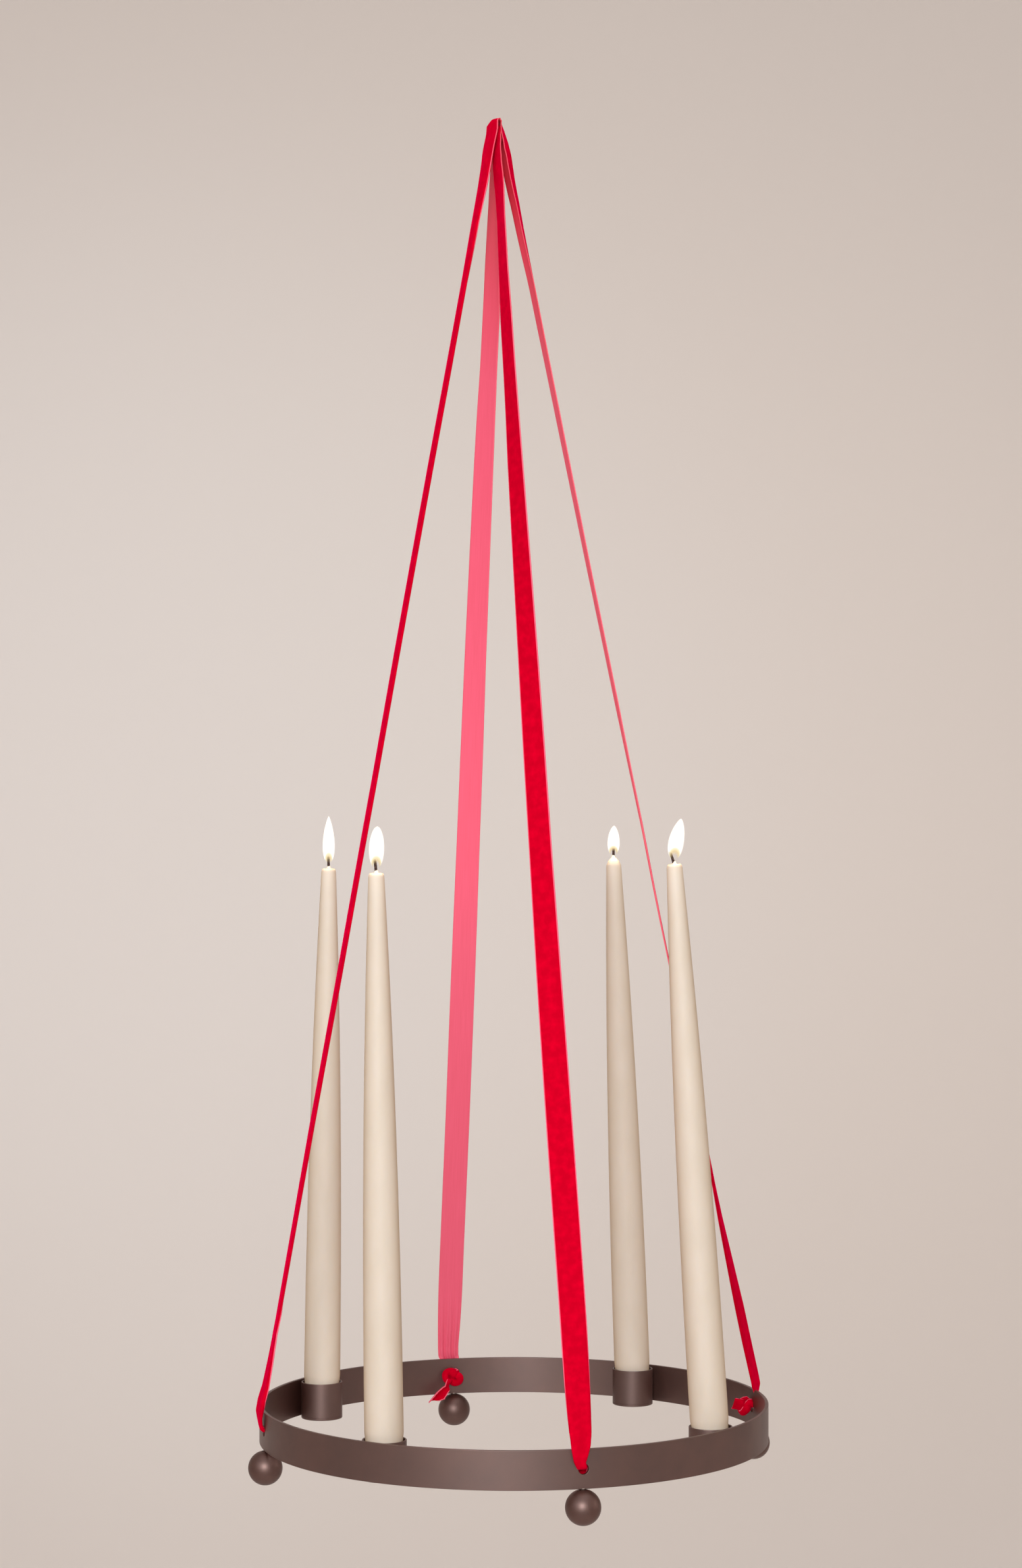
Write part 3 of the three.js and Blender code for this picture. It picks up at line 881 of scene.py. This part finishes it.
def satin_material(name, dark, light):
    """Pink satin in lengthwise threads, with painted shade and painted red bounce light that make
    it deeper red near the fold over the top.
    """
    material, shader = plain_material(name, dark, 0.68)
    tree = material.node_tree
    uv = coordinates(tree, "UV")
    inputs = {"Vector": uv, "Scale": 14, "Distortion": 1.2, "Detail": 2}
    weave = node(tree, "ShaderNodeTexWave", inputs, bands_direction="X").outputs["Fac"]
    inputs = {"Vector": uv, "Scale": (14, 0.25, 1)}
    streaks = node(tree, "ShaderNodeMapping", inputs).outputs["Vector"]
    tone = mix(tree, noise(tree, streaks, 2.0, 3), dark, light)
    # Painted shade: near the fold over the top the satin is mixed towards a deeper red, in place
    # of shade and red light from the velvet
    along = node(tree, "ShaderNodeSeparateXYZ", {"Vector": uv}).outputs["Y"]
    from_fold = reckon(tree, "ABSOLUTE", reckon(tree, "SUBTRACT", along, FOLD_AT))
    painted_shade_near_fold = map_range(tree, from_fold, 1.5, 10, 1, 0)
    fill(
        shader,
        {
            "Base Color": mix(tree, painted_shade_near_fold, tone, SATIN_PAINTED_SHADE_AT_FOLD),
            "Normal": bump(tree, weave, 0.12, 0.0001),
            "Specular IOR Level": 1.0,
            "Sheen Weight": 0.4,
            "Sheen Roughness": 0.3,
            "Sheen Tint": SATIN_SHEEN,
        },
    )
    return material


velvet = velvet_material()
satin = satin_material("satin_back", SATIN_DARK, SATIN_LIGHT)
selvage = satin_material("selvage", SELVAGE_DARK, SELVAGE_LIGHT)


def between(keys, x):
    """Value at x on the straight lines through a list of (x, value) keys."""
    if x <= keys[0][0]:
        return keys[0][1]
    for (x0, y0), (x1, y1) in zip(keys, keys[1:]):
        if x <= x1:
            share = (x - x0) / (x1 - x0)
            return y0 + (y1 - y0) * share
    return keys[-1][1]


def smooth_path(points, spacing):
    """A smooth curve through the points, as points about `spacing` apart."""
    padded = [points[0] * 2 - points[1], *points, points[-1] * 2 - points[-2]]
    path = [points[0].copy()]
    for i in range(1, len(padded) - 2):
        p0, p1, p2, p3 = padded[i - 1 : i + 3]
        count = max(1, round((p2 - p1).length / spacing))
        for step in range(1, count + 1):
            t = step / count
            point = 2 * p1 + (p2 - p0) * t
            point += (2 * p0 - 5 * p1 + 4 * p2 - p3) * t * t
            point += (3 * p1 - p0 - 3 * p2 + p3) * t**3
            path.append(0.5 * point)
    return path


# Way of one end from the middle of its hole up to the straight strand: distance outwards
# from the middle of the band and height above the middle of the band
HOLE_WAY = [(0.0, 0.0), (1.3, 0.05), (2.6, 0.9), (3.2, 3.2), (3.4, 7.0), (3.2, 11.8), (2.9, 18)]

# How each strand lies, by its depth below the hanging point. half is half its width, as the
# lower ribbon is squeezed where it passes under the upper one. fold is a crease along its
# middle, twist its turn about its own line, and shift and bow are its way aside and outwards
# of the straight line. curl bends its edges back. gather is the share that it takes of the
# curl near the hole, and pleat the steepness of fine pleats along it. The upper ribbon is also
# askew where it lies over the lower one: lean moves it along itself, yaw and tilt move its
# near edge against its far edge, along the ribbon and upwards.
SQUEEZED = [(0, 2.2), (5, 2.6), (12, 4.2), (22, 6.4), (34, 7.5)]
CREASED = [(0, 75), (3, 50), (8, 15), (14, 0)]
STRANDS = {
    "front": {
        "half": SQUEEZED,
        "fold": CREASED,
        "twist": [
            (-0.4, 0), (1, -20), (4, -55), (8, -75), (24, -82), (39, -84), (58, -87), (74, -85),
            (90, -84), (101, -82), (117, -79), (149, -77.5), (172, -75), (203, -70),
            (257, -63.5), (318, -56), (371, -50), (431, -46), (505, -35), (577, -24),
            (649, -12), (684, -6), (740, 0),
        ],
        "shift": [
            (0, -1.0), (11, -1.3), (18, -2.0), (26, -2.2), (39, -1.8), (58, -2.05), (90, -2.65),
            (117, -2.85), (172, -2.95), (203, -3.1), (318, -3.0), (431, -3.1), (505, -2.95),
            (577, -2.54), (649, -2.07), (684, -1.85), (719, -1.8), (740, -1.6), (752, -1.8),
            (761, -2.5), (765, -1.0),
        ],
    },
    "back": {
        "half": SQUEEZED,
        "fold": CREASED,
        "twist": [
            (-0.4, 0), (1, 20), (4, 55), (8, 75), (24, 83), (44, 81), (53, 79), (68, 76),
            (84, 70.5), (95, 68), (110, 63.5), (141, 62.8), (164, 59), (195, 55), (250, 50.5),
            (314, 45), (370, 38.7), (435, 34.5), (517, 21), (600, 15), (730, 14), (752, 6),
            (763, 0),
        ],
        "shift": [
            (0, 0), (35, 0.4), (68, 0.44), (95, 0.95), (110, 1.22), (141, 0.78), (164, 0.31),
            (195, -0.13), (250, -0.61), (314, -1.1), (370, -1.25), (435, -1.53), (517, -1.82),
            (600, -2.09), (685, -2.75), (728, -2.9), (745, -3.0), (752, -2.9), (763, -0.4),
        ],
        "pleat": [(690, 0), (710, 10), (729, 30), (745, 47), (760, 54)],
        "gather": [(0, 0.1), (753, 0.15), (758, 1)],
    },
    "left": {
        "half": [(0, 7.5)],
        "fold": [(-2, 12), (5, 4), (20, 6), (60, 7), (300, 5), (600, 3), (735, 0)],
        "twist": [
            (20, 0), (60, -0.4), (95, -0.9), (260, -0.8), (400, -1.6), (520, -2.6),
            (600, -3.6), (670, -4.8), (700, -5.5), (718, -3.5), (734, -0.5), (747, 2.5),
            (754, 6), (760, 0),
        ],
        "bow": [
            (0, 0.6), (5, 0.65), (16, 0.7), (37, 0.6), (60, 1.1), (95, 0.9), (150, 0.83),
            (204, 0.92), (257, 0.78), (318, 0.6), (388, 0.2), (433, 0.15), (503, -0.13),
            (588, -0.18), (663, -0.7), (700, -0.95), (723, -1.0), (738, -0.75), (753, 0.9),
            (763, 0),
        ],
        "curl": [(14, 0), (95, 150), (690, 150), (715, 0)],
        "lean": [(-2, -1.5), (0, -0.9), (5, 0.5), (12, 0.2), (18, 0)],
        "yaw": [(-2, 2.9), (5, 3.1), (16, 2.9), (37, 1.8), (60, 0.4), (90, 0)],
        "tilt": [(-2, 1.8), (5, 0.8), (20, 0)],
    },
    "right": {
        "half": [(0, 7.5)],
        "fold": [
            (-2, 12), (4, 28), (15, 41), (23, 40), (35, 34), (50, 27), (73, 20), (95, 12),
            (120, 8), (300, 5), (600, 3), (735, 0),
        ],
        "twist": [
            (20, 0), (60, 2.8), (148, 5.4), (222, 7.2), (302, 9.1), (342, 9.6), (382, 12),
            (421, 14), (631, 19.7), (650, 24), (666, 28.5), (685, 33.5), (705, 38.5),
            (725, 39), (752, 38), (761, 12),
        ],
        "bow": [
            (0, -0.1), (4, 0.3), (12, 1.1), (19, 1.5), (32, 0.9), (46, 0.8), (62, 0.35),
            (90, 0), (120, -0.7), (258, -1.3), (413, -1.35), (452, -1.9), (471, -2.05),
            (620, -2.05), (650, -2.45), (685, -2.2), (705, -2.0), (725, -1.9), (744, -1.6),
            (747, -1.55), (751, -0.95), (756, -0.7), (763, 0),
        ],
        "curl": [(570, 0), (630, 150), (757, 150), (760, 0)],
        "gather": [(715, 1), (732, 0.5), (753, 0.5), (758, 1)],
        "lean": [(-2, -1.5), (0, -0.3), (4, 0.3), (12, 0.5), (25, 0.3), (40, 0)],
        "yaw": [(-2, 2.9), (1, 0.6), (5, -0.4), (16, 0)],
        "tilt": [(-2, 1.8), (5, 0.8), (20, 0)],
    },
}
STRAIGHT = [(0, 0)]
WHOLE = [(0, 1)]
LAID = ("twist", "shift", "bow", "lean", "yaw", "tilt")
OWN_CURL = {"curl_at": 5.6, "curl_length": 1.2}
# How the edges of every strand are gathered behind it, by height above the hole: how far they
# curl, where the curl starts from the middle and over how much cloth it comes about
GATHER = {
    "curl": [
        (0, 168), (3.6, 178), (7.6, 178), (12.6, 150), (20, 105), (31, 78), (49, 45), (80, 15),
        (110, 0),
    ],
    "curl_at": [(0, 1.4), (3.6, 2.05), (7.6, 3.35), (12.6, 4.25), (20, 4.55)],
    "curl_length": [(0, 3.4), (3.6, 2.6), (7.6, 2.2), (12.6, 2.5), (20, 2.8), (31, 3.0)],
}

# Each knot: how far it is turned in the plane of the band, its tail (across, inwards, up), the
# way the velvet of the tail faces, how far its edges roll by the distance from the cut end
# (towards the velvet if negative), half its width, half the width of the cut, how slantwise
# it is cut, how far the knot lies aside of the hole, and whether it is mirrored
KNOTS = {
    "front": {
        "turn": 40, "tail": (6, 5, -13), "face": (0, 1, 0),
        "roll": [(0, 40), (11, 40), (17, 168)], "half": 5.6, "tip": 5.6, "slant": 1,
    },
    "back": {
        "turn": 168, "tail": (-12.5, 1.5, -11.5), "face": (0.3, 1, 0.1),
        "roll": [(0, -95), (11, -95), (17, 168)], "half": 5.6, "tip": 3.4, "slant": -3,
        "aside": -1.3,
    },
    "left": {
        "turn": 10, "tail": (3, 5, -8), "face": (0, 1, 0),
        "roll": [(0, 40), (11, 40), (17, 168)], "half": 5.6, "tip": 5.6, "slant": 1,
    },
    "right": {
        "turn": 80, "tail": (-1.5, 6.5, 1), "face": (1, 0.2, 0),
        "roll": [(0, 70), (8, 70), (14, 125), (30, 125), (38, 168)], "half": 4.4, "tip": 4,
        "slant": 0.5, "mirrored": True,
    },
}
KNOT_UNIT = 1.36
KNOT_INWARDS = 4.9
KNOT_DEPTH = 0.95
KNOT_HEIGHT = 0.92
KNOT_STEPS = 15
HOLE_INNER = 1.2
TAIL_BOW = 0.6
TAIL_FREE = [(0, 1), (10, 1), (15, 0)]
SLANT_LENGTH = 6
FRAY_LENGTH = 12
FRAY_ALONG = 0.4
FRAY_ACROSS = 0.35
FRAY_SEED = 5


def knot_way(knot):
    """Points of the overhand knot and its tail from the hole inwards: across, inwards, up."""
    centre = Vector((knot.get("aside", 0), KNOT_INWARDS, 0))
    points = [Vector((0, HOLE_INNER, 0)), Vector((0, HOLE_INNER + 1, 0))]
    first, last = math.pi / 2, math.pi / 2 + 5 * math.pi / 3
    for step in range(KNOT_STEPS + 1):
        t = first + (last - first) * step / KNOT_STEPS
        reach = (2 + math.cos(3 * t)) * KNOT_UNIT
        angle = 2 * t + math.radians(knot["turn"])
        x = reach * math.cos(angle) * (-1 if knot.get("mirrored") else 1)
        y = math.sin(3 * t) * KNOT_UNIT * KNOT_DEPTH
        z = reach * math.sin(angle) * KNOT_HEIGHT
        points.append(centre + Vector((x, y, z)))
    start = points[-1]
    tail = Vector(knot["tail"])
    for share in (0.3, 0.55, 0.8, 1.0):
        bow = Vector((0, TAIL_BOW * math.sin(share * 3), 0))
        points.append(start + tail * share + bow)
    return points


def section(point, width, normal, keys):
    """Points across the ribbon: a line creased in the middle, curled, rolled and pleated."""
    half = keys["half"]
    count = RIBBON_POINTS // 2
    step = half / (count * SECTION_STEPS)
    fold = math.radians(keys["fold"])
    curl = math.radians(keys["curl"])
    roll = math.radians(keys["roll"])
    pleat = math.radians(keys["pleat"])
    x = y = 0.0
    right = []
    for i in range(count * SECTION_STEPS):
        s = (i + 0.5) * step
        bend = min(1, max(0, (s - keys["curl_at"]) / keys["curl_length"]))
        angle = fold * math.tanh(s / CREASE_REACH)
        angle += curl * bend * bend * (3 - 2 * bend)
        angle += roll * s / half
        angle += pleat * math.cos(2 * math.pi * s / PLEAT)
        x += math.cos(angle) * step
        y += math.sin(angle) * step
        if (i + 1) % SECTION_STEPS == 0:
            right.append((x, y))
    line = [(-px, py) for px, py in reversed(right)] + [(0, 0)] + right
    return [point + width * px - normal * py for px, py in line]


def ribbon_sheet(name, rows, lengths):
    """The ribbon as a grid of points, velvet out, given its thickness with a pink rim."""
    count = len(rows[0])
    faces = []
    for r in range(len(rows) - 1):
        for c in range(count - 1):
            a = r * count + c
            faces.append((a, a + 1, a + 1 + count, a + count))
    mesh = bpy.data.meshes.new(name)
    mesh.from_pydata([p * MM for row in rows for p in row], [], faces)
    uv = mesh.uv_layers.new(name="UVMap")
    for loop in mesh.loops:
        row, column = divmod(loop.vertex_index, count)
        uv.data[loop.index].uv = (column / (count - 1), lengths[row] * MM / RIBBON_WIDTH)
    mesh.polygons.foreach_set("use_smooth", [True] * len(mesh.polygons))
    for material in (velvet, satin, selvage):
        mesh.materials.append(material)
    made = bpy.data.objects.new(name, mesh)
    bpy.context.scene.collection.objects.link(made)
    use_modifier(
        made,
        "SOLIDIFY",
        thickness=RIBBON_THICKNESS,
        offset=0,
        material_offset=1,
        material_offset_rim=2,
        use_quality_normals=True,
    )
    return made


def ribbon_path(ways, ring_along, ring_height, fold_radius, fold_top, knots):
    """Middle line from tail to tail, the index of its top and those where its knots end."""
    along, across, up = ways
    arc_height = fold_top - fold_radius
    hole_way = smooth_path([Vector(pair) for pair in HOLE_WAY], STRAND_SPACING)

    def at(side, out, height):
        return across * side + along * out + up * height

    halves = []
    leans = []
    for end, knot in zip((-1, 1), knots):
        hole_along = ring_along + end * HOLE_DISTANCE
        knotted = [
            at(p.x, hole_along - end * p.y, ring_height + p.z)
            for p in smooth_path(knot_way(knot), KNOT_SPACING)
        ]
        foot = [at(0, hole_along + end * p.x, ring_height + p.y) for p in hole_way]
        start = Vector((hole_along + end * hole_way[-1].x, ring_height + hole_way[-1].y))
        lean = math.atan2(abs(start.x - end * fold_radius), arc_height - start.y)
        finish_along = end * fold_radius * math.cos(lean)
        finish_height = arc_height + fold_radius * math.sin(lean)
        finish = Vector((finish_along, finish_height))
        strand = []
        for step in range(1, STRAND_STEPS + 1):
            share = 1 - (1 - step / STRAND_STEPS) ** STRAND_EASE
            place = start.lerp(finish, share)
            strand.append(at(0, place.x, place.y))
        halves.append((list(reversed(knotted)), foot + strand))
        leans.append(lean)
    arc = []
    for step in range(1, FOLD_STEPS):
        turn = leans[0] + (math.pi - leans[0] - leans[1]) * step / FOLD_STEPS
        out = -fold_radius * math.cos(turn)
        arc.append(at(0, out, arc_height + fold_radius * math.sin(turn)))
    first_knot, first_strand = halves[0]
    second_knot, second_strand = halves[1]
    path = first_knot + first_strand + arc
    path += list(reversed(second_strand)) + list(reversed(second_knot))
    top = len(first_knot) + len(first_strand) + len(arc) // 2
    return path, top, (len(first_knot), len(path) - len(second_knot))


def knot_row(point, tangent, width, ways, end, knot, left, fray):
    """Points across the ribbon in a knot or its tail, `left` millimetres from the cut."""
    along, across, up = ways
    side, inward, rise = knot["face"]
    face = across * side - along * (end * inward) + up * rise
    wanted = tangent.cross(face).normalized()
    spin = math.atan2(width.cross(wanted).dot(tangent), width.dot(wanted))
    width = Quaternion(tangent, spin * between(TAIL_FREE, left)) @ width
    normal = width.cross(tangent).normalized()
    wide = knot["half"]
    # The ribbon is narrowest where the tail leaves the knot
    halves = [
        (0, knot["tip"]), (5, wide - 0.3), (12, 3.4), (17, 3.6), (22, wide), (30, wide + 0.2),
        (40, 7.2),
    ]
    keys = {"fold": 0, "curl": 0, "curl_at": 5, "curl_length": 1, "pleat": 0}
    keys["half"] = between(halves, left)
    keys["roll"] = between(knot["roll"], left)
    row = section(point, width, normal, keys)
    ragged = max(0, 1 - left / FRAY_LENGTH)
    for column, p in enumerate(row):
        aside = 2 * column / (len(row) - 1) - 1
        cut = max(0, 1 - left / SLANT_LENGTH) * knot["slant"] * aside
        if abs(aside) > 0.9:
            cut += fray.uniform(-FRAY_ALONG, FRAY_ALONG) * ragged
        row[column] = p - tangent * cut * end
        if abs(aside) > 0.95:
            row[column] += width * fray.uniform(-FRAY_ACROSS, FRAY_ACROSS) * ragged
    return row


def strand_row(point, tangent, width, ways, lie, ring_height):
    """Points across the ribbon on its way between the knots, laid as the keys say."""
    along, across, up = ways
    height = point.dot(up)
    depth = -height
    keys = {name: between(GATHER[name], height - ring_height) for name in GATHER}
    keys["half"] = between(lie["half"], depth)
    keys["fold"] = between(lie["fold"], depth)
    keys["roll"] = 0
    keys["pleat"] = between(lie.get("pleat", STRAIGHT), depth)
    keys["curl"] *= between(lie.get("gather", WHOLE), depth)
    own_curl = between(lie.get("curl", STRAIGHT), depth)
    if own_curl > keys["curl"]:
        keys.update(OWN_CURL, curl=own_curl)
    value = {key: between(lie.get(key, STRAIGHT), depth) for key in LAID}
    turned_width = Quaternion(tangent, math.radians(value["twist"])) @ width
    turned_normal = turned_width.cross(tangent).normalized()
    normal = width.cross(tangent).normalized()
    point = point + across * value["shift"] + normal * value["bow"]
    row = section(point, turned_width, turned_normal, keys)
    for column, p in enumerate(row):
        side = (p - point).dot(across) * MM / RIBBON_WIDTH
        p = p + along * (value["lean"] + value["yaw"] * side)
        row[column] = p + up * (value["tilt"] * side)
    return row


def ribbon(name, along, strands, fold_radius, fold_top):
    """One ribbon from tail to tail, over the hanging point. Returns it and its length."""
    centre = RING_CENTRE / MM
    ring_along = centre.dot(along)
    down = centre - along * ring_along
    ring_height = -down.length
    up = -down.normalized()
    across = along.cross(up)
    ways = (along, across, up)
    knots = [KNOTS[side] for side in strands]
    path, top, knot_ends = ribbon_path(ways, ring_along, ring_height, fold_radius, fold_top, knots)

    tangents = []
    for i in range(len(path)):
        ahead = path[min(len(path) - 1, i + 1)] - path[max(0, i - 1)]
        tangents.append(ahead.normalized())
    widths = {top: across.copy()}
    for order in (range(top + 1, len(path)), range(top - 1, -1, -1)):
        last = top
        for i in order:
            widths[i] = tangents[last].rotation_difference(tangents[i]) @ widths[last]
            last = i
    lengths = [0.0]
    for a, b in zip(path, path[1:]):
        lengths.append(lengths[-1] + (b - a).length)

    fray = random.Random(FRAY_SEED)
    rows = []
    for i, point in enumerate(path):
        half = 0 if i <= top else 1
        if knot_ends[0] <= i < knot_ends[1]:
            lie = STRANDS[strands[half]]
            row = strand_row(point, tangents[i], widths[i], ways, lie, ring_height)
        else:
            end = (-1, 1)[half]
            left = lengths[-1] - lengths[i] if half else lengths[i]
            row = knot_row(point, tangents[i], widths[i], ways, end, knots[half], left, fray)
        rows.append(row)
    return ribbon_sheet(name, rows, lengths), lengths[-1]


lower_ribbon, lower_length = ribbon(
    "velvet_ribbon_front_back",
    Vector((0, 1, 0)),
    ("front", "back"),
    LOWER_FOLD_RADIUS,
    LOWER_FOLD_TOP,
)
upper_ribbon, upper_length = ribbon(
    "velvet_ribbon_left_right",
    Vector((1, 0, 0)),
    ("left", "right"),
    UPPER_FOLD_RADIUS,
    UPPER_FOLD_TOP,
)
for piece, length, replaced in (
    (lower_ribbon, lower_length, "ribbon_front_back"),
    (upper_ribbon, upper_length, "ribbon_left_right"),
):
    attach(piece, "root")
    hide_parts(replaced)
